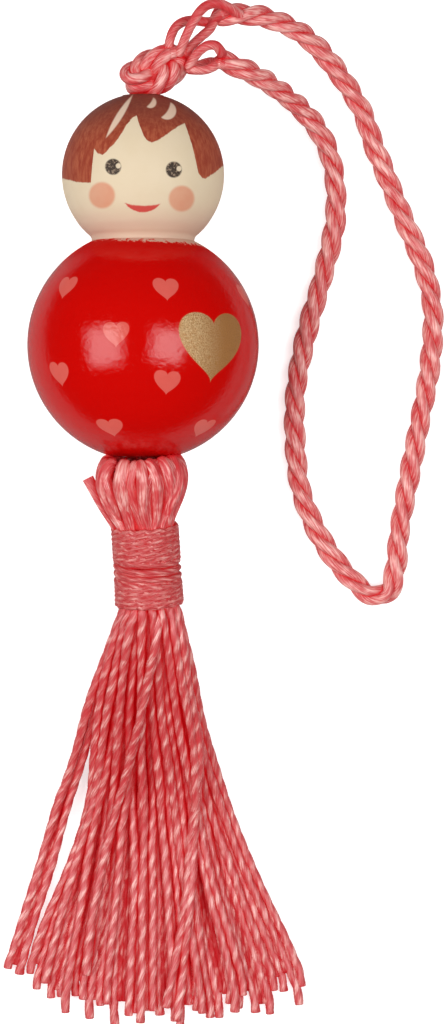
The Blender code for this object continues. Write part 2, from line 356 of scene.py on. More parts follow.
# painted shade: the deep red drawn where silk lies close to silk, in grooves and in random patches
SILK_SHADE_RED = (0.62, 0.002, 0.010, 1.0)
SILK_PAINTED_GLOW = (1.0, 0.002, 0.008, 1.0)  # painted glow: emission that stands in for red light coming through the silk where it lies deep
CORE_DEEP = (0.55, 0.003, 0.008, 1.0)
CORE_RED = (0.74, 0.04, 0.04, 1.0)


def make_silk(name, plies, slant, fineness=2.2, deep_share=0.5, patches=0.5, shade=1.0, lustre=0.6,
              glow=0.16):
    """Silky thread with painted highlights on its filaments and ply crests, and painted shade in deep red where
    it lies close to other silk, between its filaments and in random patches; a painted red glow shows where it
    lies buried.

    plies is how many lobes it has round it: with 1, only its inner side is deep red with painted shade, and with
    0 it has none.
    """
    material, tree, shader = new_material(name)
    lay = node(tree, "ShaderNodeUVMap", uv_map=LAY).outputs[0]
    parts = node(tree, "ShaderNodeSeparateXYZ", {0: lay}).outputs
    fibre = use_group(tree, FILAMENTS, Around=parts["X"], Along=parts["Y"], Slant=slant, Fineness=fineness)
    # painted highlight: the stronger filaments are drawn light
    fine = ease(tree, fibre["Filament"], 0.42, 0.66)
    # painted shade: the fine gaps between filaments drawn deep red
    gaps = ease(tree, fibre["Filament"], 0.46, 0.34)
    patchy = ease(tree, fibre["Patch"], 0.38, 0.62)
    # painted shade: the grooves between plies drawn deep red; with one ply, the strand's inner side where it
    # meets the others
    crest = calc(tree, "COSINE", calc(tree, "MULTIPLY", parts["X"], math.tau * max(plies, 1)))
    groove = ease(tree, crest, 0.1, -0.9)
    # lit is a painted highlight along each ply's crest, broken into patches
    lit = calc(tree, "MULTIPLY", ease(tree, crest, 0.0, 1.0), calc(tree, "MULTIPLY_ADD", patchy, 0.5, 0.2))
    # painted shade: random patches along the thread drawn deep red, where the silk's lustre turns away from the
    # light
    painted_shade_patches = calc(tree, "MULTIPLY", calc(tree, "SUBTRACT", 1.0, patchy), patches)
    deep = calc(tree, "MAXIMUM", calc(tree, "MULTIPLY", groove, deep_share if plies else 0.0), painted_shade_patches)
    deep = calc(tree, "MAXIMUM", deep, calc(tree, "MULTIPLY", gaps, 0.6))
    # painted shade: deep red wherever other silk lies within 1.6 mm, found by ambient occlusion
    closeness = node(tree, "ShaderNodeAmbientOcclusion", {"Distance": 1.6 * MM}, samples=4).outputs["AO"]
    buried = ease(tree, closeness, 0.72, 0.22)
    deep = calc(tree, "MAXIMUM", deep, calc(tree, "MULTIPLY", buried, 0.96))
    # painted highlight: filaments and crests mixed towards the light colour
    painted_highlight = calc(tree, "MULTIPLY_ADD", fine, 0.72, calc(tree, "MULTIPLY", lit, 0.55 if plies else 0.45))
    # the silk's coral dye with the painted highlight, then the painted shade, laid over it
    dye_and_painted_light = blend_colour(tree, calc(tree, "MINIMUM", painted_highlight, 1.0), SILK_CORAL, SILK_PAINTED_HIGHLIGHT)
    dye_and_painted_light = blend_colour(tree, deep, dye_and_painted_light, SILK_SHADE_RED)
    # painted shade: the whole thread drawn darker and redder when shade is below 1
    if shade != 1.0:
        dye_and_painted_light = blend_colour(tree, 1.0, dye_and_painted_light, (shade, shade * 0.8, shade * 0.8, 1.0), "MULTIPLY")
    tree.links.new(dye_and_painted_light, shader.inputs["Base Color"])
    tree.links.new(calc(tree, "MULTIPLY_ADD", deep, 0.20, 0.28), shader.inputs["Roughness"])
    shader.inputs["Specular IOR Level"].default_value = lustre
    shader.inputs["IOR"].default_value = 1.6
    shader.inputs["Emission Color"].default_value = SILK_PAINTED_GLOW
    # painted glow: red emission wherever other silk lies close
    tree.links.new(calc(tree, "MULTIPLY", buried, glow), shader.inputs["Emission Strength"])
    add_bump(tree, shader, fibre["Filament"], 0.12 * MM, 1.0)
    return material


def make_core_silk():
    """Packed silk seen only in the gaps between threads."""
    material, tree, shader = new_material("silk_core")
    place = node(tree, "ShaderNodeTexCoord").outputs["Object"]
    fibres = noise(tree, scaled(tree, place, (3.0, 0.6, 3.0)), 1800.0, 3.0, 0.6)
    colour = blend_colour(tree, fibres, CORE_DEEP, CORE_RED)
    tree.links.new(colour, shader.inputs["Base Color"])
    shader.inputs["Roughness"].default_value = 0.6
    add_bump(tree, shader, fibres, 0.1 * MM)
    return material


# Paint ---------------------------------------------------------------------------------------------

LACQUER_RED = (0.56, 0.0022, 0.0010, 1.0)
LACQUER_DEEP = (0.48, 0.0014, 0.0010, 1.0)
HEART_PINK = (0.68, 0.120, 0.095, 1.0)
HEART_PINK_DEEP = (0.64, 0.10, 0.08, 1.0)
# Foil heart: the first gold is its painted reflection of the left soft box; the dull brown is both its dull
# specks and its painted shaded side
FOIL_GOLD_LIT = (0.86, 0.62, 0.34, 1.0)
FOIL_DULL_AND_SHADED = (0.46, 0.21, 0.07, 1.0)
SKIN = (0.70, 0.575, 0.405, 1.0)
SKIN_SHADED = (0.67, 0.54, 0.36, 1.0)
SKIN_ROSY = (0.62, 0.395, 0.305, 1.0)
HAIR = (0.29, 0.036, 0.014, 1.0)
HAIR_LIGHT = (0.42, 0.095, 0.040, 1.0)
HAIR_DARK = (0.17, 0.035, 0.022, 1.0)
CHEEK = (0.63, 0.235, 0.132, 1.0)
LIPS = (0.56, 0.065, 0.052, 1.0)
EYE = (0.045, 0.028, 0.018, 1.0)
EYE_WORN = (0.26, 0.18, 0.12, 1.0)
EYE_GLINT = (0.66, 0.54, 0.38, 1.0)
MARK_PEACH = (0.70, 0.51, 0.38, 1.0)

# Rows of pink hearts: latitude, how many, longitude of the first, tilt of the row, and 1 if the sides have them
HEART_ROWS = (
    (25.9, 6, 13.7, 2.0, 1.0),
    (2.4, 6, -12.0, 0.0, 0.0),
    (-20.0, 6, 13.7, 5.0, 0.0),
    (-47.4, 5, -22.5, 0.0, 1.0),
)
HEART_HALF_WIDTH = 6.5
FOIL_LONGITUDE, FOIL_LATITUDE, FOIL_HALF_WIDTH = 38.4, -3.5, 19.6


def make_body_paint():
    """Glossy red lacquer with pink hearts, one foil heart and a ragged edge at the neck."""
    material, tree, shader = new_material("red_lacquer")
    place = node(tree, "ShaderNodeTexCoord").outputs["Object"]
    parts = node(tree, "ShaderNodeSeparateXYZ", {0: place}).outputs
    bearings = use_group(tree, BEARINGS, Place=place)
    grain = use_group(tree, GRAIN, Place=place, Streak_Scale=180.0, Mottle_Scale=700.0)
    red = blend_colour(tree, grain["Streaks"], LACQUER_DEEP, LACQUER_RED)
    red = blend_colour(tree, 0.5, red, LACQUER_RED)
    wobble = calc(tree, "MULTIPLY", calc(tree, "SUBTRACT", noise(tree, place, 1500.0, 2.0), 0.5), 0.12)
    printed = calc(tree, "ADD", 0.07, calc(tree, "ABSOLUTE", wobble))
    pink = None
    slope = calc(tree, "SINE", calc(tree, "RADIANS", bearings["Longitude"]))
    aside = calc(tree, "ABSOLUTE", bearings["Longitude"])
    beside = calc(tree, "MULTIPLY", ease(tree, aside, 61.0, 62.0), ease(tree, aside, 92.0, 91.0))
    for latitude, count, first, tilt, at_sides in HEART_ROWS:
        level = calc(tree, "ADD", bearings["Latitude"], calc(tree, "MULTIPLY", slope, tilt))
        row = use_group(tree, HEART_ROW, Longitude=bearings["Longitude"], Latitude=level,
                        Count=float(count), First=first, Row=latitude, Half_Width=HEART_HALF_WIDTH,
                        Edge=printed)["Mask"]
        if not at_sides:
            row = calc(tree, "MULTIPLY", row, calc(tree, "SUBTRACT", 1.0, beside))
        pink = row if pink is None else calc(tree, "MAXIMUM", pink, row)
    foil = use_group(tree, HEART_ROW, Longitude=bearings["Longitude"], Latitude=bearings["Latitude"],
                     Count=1.0, First=FOIL_LONGITUDE, Row=FOIL_LATITUDE, Half_Width=FOIL_HALF_WIDTH,
                     Squatness=1.38, Edge=0.03)["Mask"]
    pink_paint = blend_colour(tree, grain["Mottle"], HEART_PINK, HEART_PINK_DEEP)
    colour = blend_colour(tree, calc(tree, "MULTIPLY", pink, 0.96), red, pink_paint)
    specks = noise(tree, place, 5200.0, 2.0, 0.7)
    # painted reflection: the foil heart is drawn gold on its left side and dull brown on its right side, as if
    # it reflects the left soft box
    painted_sheen = ease(tree, bearings["Longitude"], 47.0, 24.0)
    lit_foil = blend_colour(tree, painted_sheen, FOIL_DULL_AND_SHADED, FOIL_GOLD_LIT)
    foil_paint = blend_colour(tree, ease(tree, specks, 0.35, 0.65), FOIL_DULL_AND_SHADED, lit_foil)
    colour = blend_colour(tree, foil, colour, foil_paint)
    ragged = calc(tree, "SUBTRACT", noise(tree, place, 1500.0, 3.0, 0.7), 0.5)
    ragged = calc(tree, "MULTIPLY", ragged, 1.9 * MM)
    edge = calc(tree, "ADD", parts["Y"], ragged)
    edge = calc(tree, "ADD", edge, calc(tree, "MULTIPLY", parts["X"], 0.055))
    chipped = ease(tree, edge, NECK_EDGE - 0.16 * MM, NECK_EDGE)
    bare = ease(tree, edge, NECK_EDGE, NECK_EDGE + 0.14 * MM)
    colour = blend_colour(tree, calc(tree, "MULTIPLY", chipped, 0.6), colour, HEART_PINK)
    colour = blend_colour(tree, bare, colour, SKIN_ROSY)
    tree.links.new(colour, shader.inputs["Base Color"])
    tree.links.new(calc(tree, "MULTIPLY", foil, 0.35), shader.inputs["Metallic"])
    mottled = calc(tree, "MULTIPLY", grain["Mottle"], 0.10)
    wear = calc(tree, "ADD", calc(tree, "MULTIPLY", foil, 0.14), mottled)
    tree.links.new(calc(tree, "ADD", 0.24, wear), shader.inputs["Roughness"])
    at_neck = ease(tree, parts["Y"], 9.0 * MM, 12.4 * MM)
    dulled = calc(tree, "MAXIMUM", calc(tree, "MULTIPLY", foil, 0.8), calc(tree, "MULTIPLY", at_neck, 0.8))
    tree.links.new(calc(tree, "SUBTRACT", 0.92, dulled), shader.inputs["Coat Weight"])
    shader.inputs["Coat Roughness"].default_value = 0.06
    shader.inputs["Specular IOR Level"].default_value = 0.0
    peel = noise(tree, place, 1500.0, 4.0, 0.6)
    pits = calc(tree, "MULTIPLY", ease(tree, specks, 0.45, 0.70), foil)
    height = calc(tree, "ADD", peel, calc(tree, "MULTIPLY", pits, 1.2))
    add_bump(tree, shader, height, 0.055 * MM, 1.0)
    tree.links.new(shader.inputs["Normal"].links[0].from_socket, shader.inputs["Coat Normal"])
    return material


# The face is painted looking a little towards the doll's feet
FACE_TURN = (math.radians(-5.0), math.radians(-1.2), 0.0)

# The hair's lower edge over the face, as shares of the head's radius from its middle
HAIRLINE = (
    (-1.00, -0.045),
    (-0.80, -0.090),
    (-0.633, -0.100),
    (-0.617, 0.10),
    (-0.594, 0.312),
    (-0.545, 0.25),
    (-0.488, 0.238),
    (-0.44, 0.28),
    (-0.331, 0.393),
    (-0.245, 0.52),
    (-0.199, 0.60),
    (-0.120, 0.695),
    (-0.076, 0.715),
    (-0.051, 0.62),
    (0.012, 0.459),
    (0.060, 0.40),
    (0.113, 0.385),
    (0.170, 0.41),
    (0.276, 0.476),
    (0.400, 0.565),
    (0.507, 0.623),
    (0.556, 0.479),
    (0.600, 0.34),
    (0.622, 0.245),
    (0.671, 0.02),
    (0.720, -0.045),
    (0.761, -0.049),
    (0.820, -0.01),
    (0.883, 0.032),
    (1.00, 0.12),
)


def make_hairline(tree, across):
    """Height of the hair's edge for a place across the face."""
    curve = node(tree, "ShaderNodeFloatCurve")
    put(tree, curve.inputs["Value"], calc(tree, "MULTIPLY_ADD", across, 0.5, 0.5))
    line = curve.mapping.curves[0]
    scaled_points = [((x + 1) / 2, (y + 1) / 2) for x, y in HAIRLINE]
    line.points[0].location = scaled_points[0]
    line.points[1].location = scaled_points[-1]
    for point in scaled_points[1:-1]:
        line.points.new(*point)
    for point in line.points:
        point.handle_type = "VECTOR"
    curve.mapping.update()
    return calc(tree, "MULTIPLY_ADD", curve.outputs[0], 2.0, -1.0)


def make_head_paint(radius):
    """Satin cream paint with painted hair and a simple face."""
    material, tree, shader = new_material("head_paint")
    place = node(tree, "ShaderNodeTexCoord").outputs["Object"]
    facing = node(tree, "ShaderNodeVectorRotate", {"Vector": place}, rotation_type="EULER_XYZ")
    facing.inputs["Rotation"].default_value = FACE_TURN
    shares = scaled(tree, facing.outputs[0], (1 / radius,) * 3)
    parts = node(tree, "ShaderNodeSeparateXYZ", {0: shares}).outputs
    x, y, z = parts["X"], parts["Y"], parts["Z"]
    grain = use_group(tree, GRAIN, Place=place, Streak_Scale=330.0, Mottle_Scale=420.0)
    front = ease(tree, z, -0.10, 0.10)

    def spot(middle_x, middle_y, size, edge=0.010, across=x, up=y):
        return use_group(tree, SPOT, X=across, Y=up, Middle_X=middle_x, Middle_Y=middle_y, Radius=size,
                         Edge=edge)["Mask"]

    def outside(mask):
        return calc(tree, "SUBTRACT", 1.0, mask)

    # Skin, rosier towards the neck and a little uneven
    low = calc(tree, "MULTIPLY", ease(tree, y, -0.30, -0.74), 0.75)
    streaks = calc(tree, "ADD", 0.45, calc(tree, "MULTIPLY", grain["Streaks"], 0.9))
    streaky = calc(tree, "MULTIPLY", low, streaks)
    mottle = calc(tree, "MULTIPLY", ease(tree, grain["Mottle"], 0.35, 0.7), 0.35)
    skin = blend_colour(tree, mottle, SKIN, SKIN_SHADED)
    skin = blend_colour(tree, streaky, skin, SKIN_ROSY)

    # Cheeks, mouth and eyes
    thin = calc(tree, "ADD", 0.62, calc(tree, "MULTIPLY", grain["Mottle"], 0.3))
    cheeks = calc(tree, "MAXIMUM", spot(-0.499, -0.248, 0.158, 0.022), spot(0.467, -0.288, 0.156, 0.022))
    cheeks = calc(tree, "MULTIPLY", calc(tree, "MULTIPLY", cheeks, thin), front)
    colour = blend_colour(tree, cheeks, skin, CHEEK)
    rough_edge = calc(tree, "MULTIPLY", calc(tree, "SUBTRACT", noise(tree, place, 2200.0, 2.0), 0.5), 0.02)
    lip_x, lip_y = calc(tree, "ADD", x, rough_edge), calc(tree, "ADD", y, rough_edge)
    lower_lip = spot(-0.004, -0.187, 0.267, 0.008, lip_x, lip_y)
    upper_lip = outside(spot(0.010, 0.441, 0.815, 0.010, lip_x, lip_y))
    mouth = calc(tree, "MULTIPLY", lower_lip, upper_lip)
    colour = blend_colour(tree, calc(tree, "MULTIPLY", mouth, front), colour, LIPS)
    worn = blend_colour(tree, ease(tree, noise(tree, place, 3000.0, 2.0, 0.7), 0.50, 0.62), EYE, EYE_WORN)
    for eye_x, eye_y in ((-0.362, 0.096), (0.372, 0.062)):
        eye = calc(tree, "MULTIPLY", spot(eye_x, eye_y, 0.097), front)
        colour = blend_colour(tree, eye, colour, worn)
        glint = calc(tree, "MULTIPLY", spot(eye_x + 0.064, eye_y + 0.012, 0.031, 0.006), eye)
        colour = blend_colour(tree, glint, colour, EYE_GLINT)

    # Hair, brushed from the crown down
    wave = calc(tree, "SINE", calc(tree, "MULTIPLY", x, 9.0))
    nape = calc(tree, "ADD", -0.16, calc(tree, "MULTIPLY", wave, 0.03))
    fringe = make_hairline(tree, x)
    edge = calc(tree, "ADD", calc(tree, "MULTIPLY", fringe, front),
                calc(tree, "MULTIPLY", nape, outside(front)))
    brush = calc(tree, "MULTIPLY", calc(tree, "SUBTRACT", noise(tree, place, 1800.0, 2.0), 0.5), 0.03)
    above = calc(tree, "SUBTRACT", calc(tree, "ADD", y, brush), edge)
    hair_mask = ease(tree, above, -0.006, 0.012)
    strokes = noise(tree, scaled(tree, place, (2.4, 0.5, 2.4)), 900.0, 3.0, 0.65)
    hair = blend_colour(tree, ease(tree, strokes, 0.32, 0.72), HAIR, HAIR_LIGHT)
    hair = blend_colour(tree, calc(tree, "MULTIPLY", ease(tree, y, 0.35, 0.95), 0.7), hair, HAIR_DARK)
    leaf = calc(tree, "MULTIPLY", spot(0.790, 0.052, 1.300), spot(-1.364, 1.370, 1.300))
    small = calc(tree, "MULTIPLY", spot(0.092, 0.880, 0.071), outside(spot(-0.115, 1.024, 0.256)))
    large = calc(tree, "MULTIPLY", spot(0.294, 0.779, 0.111), outside(spot(0.078, 0.913, 0.261)))
    marks = calc(tree, "MAXIMUM", calc(tree, "MAXIMUM", small, large), leaf)
    hair = blend_colour(tree, calc(tree, "MULTIPLY", marks, front), hair, MARK_PEACH)
    colour = blend_colour(tree, hair_mask, colour, hair)
    tree.links.new(colour, shader.inputs["Base Color"])
    satin = calc(tree, "ADD", 0.42, calc(tree, "MULTIPLY", grain["Mottle"], 0.2))
    tree.links.new(satin, shader.inputs["Roughness"])
    shader.inputs["Specular IOR Level"].default_value = 0.28
    painted = calc(tree, "MULTIPLY", hair_mask, 0.35)
    brushed = calc(tree, "MULTIPLY", calc(tree, "MULTIPLY", strokes, hair_mask), 0.35)
    height = calc(tree, "ADD", calc(tree, "MULTIPLY", grain["Height"], 0.6), painted)
    height = calc(tree, "ADD", height, brushed)
    add_bump(tree, shader, height, 0.07 * MM, 0.6)
    return material


# Mesh helpers ------------------------------------------------------------------------------------


def mesh_piece(name, points, faces, lay, material, origin=(0, 0, 0)):
    """An object from points and faces; lay holds a (turn, mm) pair for each face corner."""
    mesh = bpy.data.meshes.new(name)
    mesh.from_pydata((np.asarray(points) - np.asarray(origin)).tolist(), [], faces)
    if lay is not None:
        layer = mesh.uv_layers.new(name=LAY)
        layer.data.foreach_set("uv", np.asarray(lay, dtype=np.float32).ravel())
    mesh.shade_smooth()
    mesh.materials.append(material)
    piece = bpy.data.objects.new(name, mesh)
    piece.location = origin
    bpy.context.scene.collection.objects.link(piece)
    return piece


def smooth_line(points, spacing):
    """Evenly spaced points on a smooth curve through the given ones."""
    route = np.asarray(points, dtype=float)
    padded = np.vstack([2 * route[0] - route[1], route, 2 * route[-1] - route[-2]])
    curve = []
    for i in range(len(route) - 1):
        before, start, end, after = padded[i : i + 4]
        for t in np.linspace(0, 1, 16, endpoint=False):
            linear = (end - before) * t
            square = (2 * before - 5 * start + 4 * end - after) * t**2
            cube = (3 * start - before - 3 * end + after) * t**3
            curve.append(start + 0.5 * (linear + square + cube))
    curve.append(route[-1])
    return resampled(np.array(curve), spacing)


def resampled(curve, spacing):
    reached = distance_along(curve)
    wanted = np.linspace(0, reached[-1], max(4, round(reached[-1] / spacing) + 1))
    return np.column_stack([np.interp(wanted, reached, curve[:, k]) for k in range(3)])


def distance_along(points):
    return np.concatenate([[0], np.cumsum(np.linalg.norm(np.diff(points, axis=0), axis=1))])


def unit(vectors):
    return vectors / np.maximum(np.linalg.norm(vectors, axis=-1, keepdims=True), 1e-12)


def carried_sides(points, first=(0.3, 0.1, 1.0)):
    """(tangents, sides) with the side carried along the line without turning about it."""
    tangents = unit(np.gradient(points, axis=0))
    side = np.asarray(first, dtype=float)
    sides = []
    for tangent in tangents:
        side = side - tangent * side.dot(tangent)
        side = side / np.linalg.norm(side)
        sides.append(side)
    return tangents, np.array(sides)


def round_section(angles):
    return np.ones_like(angles)


def two_ply_section(angles):
    return 0.85 + 0.15 * np.abs(np.cos(angles))


ROUNDED = ((0.88, 0.28), (0.52, 0.55))
SQUARE_CUT = ((0.96, 0.03),)
BLUNT = ((0.97, 0.12), (0.80, 0.26))


def strand_surface(points, radius, section=round_section, turn=None, sides=None, around=12, start_at=0.0,
                   flatten=1.0, ends=ROUNDED):
    """(points, faces, lay) of a closed tube. radius and turn may change along the line.

    ends holds rings that close it: each one's share of the radius, and how many radii beyond the end it is.
    """
    count = len(points)
    tangents, carried = carried_sides(points)
    if sides is not None:
        carried = unit(sides - tangents * np.sum(sides * tangents, axis=1, keepdims=True))
    ups = np.cross(tangents, carried)
    radii = np.broadcast_to(np.asarray(radius, dtype=float), (count,))
    turns = np.zeros(count) if turn is None else turn
    base = np.linspace(0, math.tau, around, endpoint=False)
    angles = base[None, :] + turns[:, None]
    reach = radii[:, None] * section(base)[None, :]
    rings = (points[:, None, :] + (reach * np.cos(angles))[..., None] * carried[:, None, :]
             + (flatten * reach * np.sin(angles))[..., None] * ups[:, None, :])
    heads, tails = [], []
    for share, beyond in ends:
        heads.insert(0, points[0] - tangents[0] * beyond * radii[0] + (rings[0] - points[0]) * share)
        tails.append(points[-1] + tangents[-1] * beyond * radii[-1] + (rings[-1] - points[-1]) * share)
    rings = np.concatenate([heads, rings, tails])
    along = distance_along(points) / MM + start_at
    along = np.concatenate([[along[0]] * len(ends), along, [along[-1]] * len(ends)])
    rows = len(rings)
    index = np.arange(rows * around).reshape(rows, around)
    nextward = np.roll(index, -1, axis=1)
    quads = np.stack([index[:-1], nextward[:-1], nextward[1:], index[1:]], axis=-1).reshape(-1, 4)
    u = np.arange(around + 1) / around
    corners = np.empty((rows - 1, around, 4, 2))
    corners[..., 0, 0] = corners[..., 3, 0] = u[:-1]
    corners[..., 1, 0] = corners[..., 2, 0] = u[1:]
    corners[..., 0, 1] = corners[..., 1, 1] = along[:-1, None]
    corners[..., 2, 1] = corners[..., 3, 1] = along[1:, None]
    faces = quads.tolist()
    faces.append(index[0][::-1].tolist())
    faces.append(index[-1].tolist())
    caps = [(a, along[0]) for a in u[:-1][::-1]] + [(a, along[-1]) for a in u[:-1]]
    return rings.reshape(-1, 3), faces, np.concatenate([corners.reshape(-1, 2), np.array(caps)])


def joined_surfaces(surfaces):
    """One (points, faces, lay) from several."""
    points, faces, lay, offset = [], [], [], 0
    for some_points, some_faces, some_lay in surfaces:
        points.append(some_points)
        faces += [[corner + offset for corner in face] for face in some_faces]
        lay.append(some_lay)
        offset += len(some_points)
    return np.concatenate(points), faces, np.concatenate(lay)


def turned_surface(profile, steps, centre, axis, side):
    """(points, faces, lay) of a closed profile of (radius, height) pairs turned about the axis."""
    axis, side = unit(np.asarray(axis, float)), unit(np.asarray(side, float))
    other = np.cross(axis, side)
    angles = np.linspace(0, math.tau, steps, endpoint=False)
    outward = np.cos(angles)[:, None] * side + np.sin(angles)[:, None] * other
    profile = np.asarray(profile)
    points = centre + profile[None, :, 1, None] * axis + profile[None, :, 0, None] * outward[:, None, :]
    rows = len(profile)
    index = np.arange(steps * rows).reshape(steps, rows)
    nextward = np.roll(index, -1, axis=0)
    lower = np.roll(index, -1, axis=1)
    lower_next = np.roll(nextward, -1, axis=1)
    faces = np.stack([index, lower, lower_next, nextward], axis=-1).reshape(-1, 4).tolist()
    return points.reshape(-1, 3), faces, None


# Sizes and places from the model -----------------------------------------------------------------


def node_box(name):
    low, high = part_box(name)
    return np.array(low), np.array(high)


def joint_place(name):
    return np.array(next(j["pos_m"] for j in frame["joints"] if j["name"] == name), dtype=float)


BODY_LOW, BODY_HIGH = node_box("body_bead")
HEAD_LOW, HEAD_HIGH = node_box("head_bead")
BODY_RADIUS = (BODY_HIGH[0] - BODY_LOW[0]) / 2
HEAD_RADIUS = (HEAD_HIGH[0] - HEAD_LOW[0]) / 2
BODY_MIDDLE = (BODY_HIGH + BODY_LOW) / 2
BODY_MIDDLE[1] = joint_place("doll_spin")[1]
HEAD_RISE = 0.0220  # from the body's middle to the head's
HEAD_MIDDLE = BODY_MIDDLE + [0, HEAD_RISE, 0]
FOOT = BODY_MIDDLE[1] - BODY_LOW[1]
CROWN = HEAD_HIGH[1] - HEAD_MIDDLE[1]
BORE = 0.0023
BORE_BEVEL = 0.4 * MM
NECK_EDGE = 13.05 * MM  # height over the body's middle at which its lacquer ends

PIVOT = joint_place("tassel_lift")
COLLAR_LOW, COLLAR_HIGH = node_box("collar_binding")
TASSEL_HEADING = unit((COLLAR_LOW + COLLAR_HIGH) / 2 - PIVOT)
TASSEL_SIDE = unit(np.cross((0, 0, 1), TASSEL_HEADING))
TASSEL_FACE = np.cross(TASSEL_HEADING, TASSEL_SIDE)
COLLAR_MIDDLE = float(np.linalg.norm((COLLAR_LOW + COLLAR_HIGH) / 2 - PIVOT))
COLLAR_HALF = 0.0052


# Beads ---------------------------------------------------------------------------------------------


def bead_arc(radius, top, bottom, count):
    """(radius, height) pairs over a bead, from its top angle to its bottom angle."""
    angles = np.linspace(top, bottom, count)
    return [(radius * math.sin(a), radius * math.cos(a)) for a in angles]


def make_body():
    foot_angle = math.pi - math.acos(FOOT / BODY_RADIUS)
    neck_angle = math.asin(6.1 * MM / BODY_RADIUS)
    profile = bead_arc(BODY_RADIUS, neck_angle, foot_angle - 0.012, 110)
    rim = profile[-1][0]
    profile += [(rim - 0.25 * MM, -FOOT), (BORE + BORE_BEVEL, -FOOT), (BORE, -FOOT + BORE_BEVEL)]
    profile.append((BORE, profile[0][1]))
    surface = turned_surface(profile, 192, BODY_MIDDLE, (0, 1, 0), (1, 0, 0))
    body = mesh_piece("painted_body", *surface, make_body_paint(), origin=BODY_MIDDLE)
    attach(body, "doll")
    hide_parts("body_bead")


# Outline of the neck under the head: mm from the axis, and mm over the head's middle
NECK = ((8.20, -6.56), (7.40, -7.42), (6.90, -7.86), (6.70, -8.16), (6.64, -8.40), (6.62, -8.58), (6.60, -8.76))


def make_head():
    """Round head that draws in to a small hollow neck and flares onto the body."""
    crown_angle = math.acos(CROWN / HEAD_RADIUS)
    cheek_angle = math.pi - math.asin(8.9 * MM / HEAD_RADIUS)
    profile = bead_arc(HEAD_RADIUS, crown_angle + 0.02, cheek_angle, 96)
    start = profile[-1]
    route = [(*profile[-4], 0), (*start, 0)] + [(r * MM, h * MM, 0) for r, h in NECK]
    curve = smooth_line(route, 0.12 * MM)[6:, :2]
    profile = profile[:-3] + [tuple(p) for p in curve]
    low = profile[-1]
    underside = low[1] - 0.05 * MM
    profile += [(low[0] - 0.5 * MM, underside), (BORE, underside), (BORE, CROWN - BORE_BEVEL)]
    profile.append((BORE + BORE_BEVEL, CROWN))
    surface = turned_surface(profile, 176, HEAD_MIDDLE, (0, 1, 0), (1, 0, 0))
    head = mesh_piece("painted_head", *surface, make_head_paint(HEAD_RADIUS), origin=HEAD_MIDDLE)
    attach(head, "doll")
    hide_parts("head_bead")


# Hanging cord --------------------------------------------------------------------------------------

CORD_ROUTE = (
    (0.0086, 0.0680, 0.0150),
    (0.0110, 0.0682, 0.0146),
    (0.0136, 0.0682, 0.0133),
    (0.0167, 0.0675, 0.0113),
    (0.0195, 0.0663, 0.0091),
    (0.0220, 0.0643, 0.0068),
    (0.0242, 0.0618, 0.0050),
    (0.0261, 0.0592, 0.0036),
    (0.0277, 0.0564, 0.0026),
    (0.0289, 0.0529, 0.0019),
    (0.0303, 0.0495, 0.0016),
    (0.0331, 0.0426, 0.0015),
    (0.0356, 0.0366, 0.0015),
    (0.0369, 0.0304, 0.0015),
    (0.0365, 0.0231, 0.0015),
    (0.0351, 0.0154, 0.0015),
    (0.0337, 0.0081, 0.0015),
    (0.0325, 0.0015, 0.0015),
    (0.0320, -0.0034, 0.0015),
    (0.0310, -0.0068, 0.0015),
    (0.0286, -0.0072, 0.0015),
    (0.0262, -0.0052, 0.0015),
    (0.0238, -0.0024, 0.0015),
    (0.0213, 0.0017, 0.0015),
    (0.0193, 0.0070, 0.0015),
    (0.0186, 0.0134, 0.0015),
    (0.0187, 0.0200, 0.0015),
    (0.0201, 0.0274, 0.0015),
    (0.0222, 0.0348, 0.0015),
    (0.0238, 0.0415, 0.0015),
    (0.0240, 0.0464, 0.0016),
    (0.0234, 0.0505, 0.0019),
    (0.0219, 0.0540, 0.0030),
    (0.0197, 0.0566, 0.0050),
    (0.0172, 0.0585, 0.0080),
    (0.0144, 0.0601, 0.0112),
    (0.0120, 0.0611, 0.0136),
    (0.0102, 0.0617, 0.0145),
    (0.0087, 0.0623, 0.0149),
)
CORD_PITCH = 10.9 * MM
ROPE_STRAND = 0.71 * MM  # radius of each of the cord's three strands
ROPE_REACH = 0.74 * MM  # from the cord's middle to each strand's middle


def rope_lines(path, reach=ROPE_REACH, pitch=CORD_PITCH):
    """For each of the three strands: its line and the outward directions along it."""
    tangents, sides = carried_sides(path)
    ups = np.cross(tangents, sides)
    turned = -math.tau * distance_along(path) / pitch
    lines = []
    for strand in range(3):
        angle = (turned + strand * math.tau / 3)[:, None]
        outward = np.cos(angle) * sides + np.sin(angle) * ups
        lines.append((path + reach * outward, outward))
    return lines


def make_cord(silk):
    path = smooth_line(CORD_ROUTE, 0.4 * MM)
    path[:, 2] = np.maximum(path[:, 2], ROPE_REACH + ROPE_STRAND)
    lines = rope_lines(path)
    swell = 1 + 0.05 * np.sin(distance_along(path) / (2.3 * MM))
    surfaces = []
    for number, (line, outward) in enumerate(lines):
        surfaces.append(strand_surface(line, ROPE_STRAND * swell, sides=outward, around=14,
                                       start_at=60.0 * number))
    cord = mesh_piece("hanging_loop_cord", *joined_surfaces(surfaces), silk)
    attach(cord, "loop")
    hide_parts("hanging_cord")
    return lines


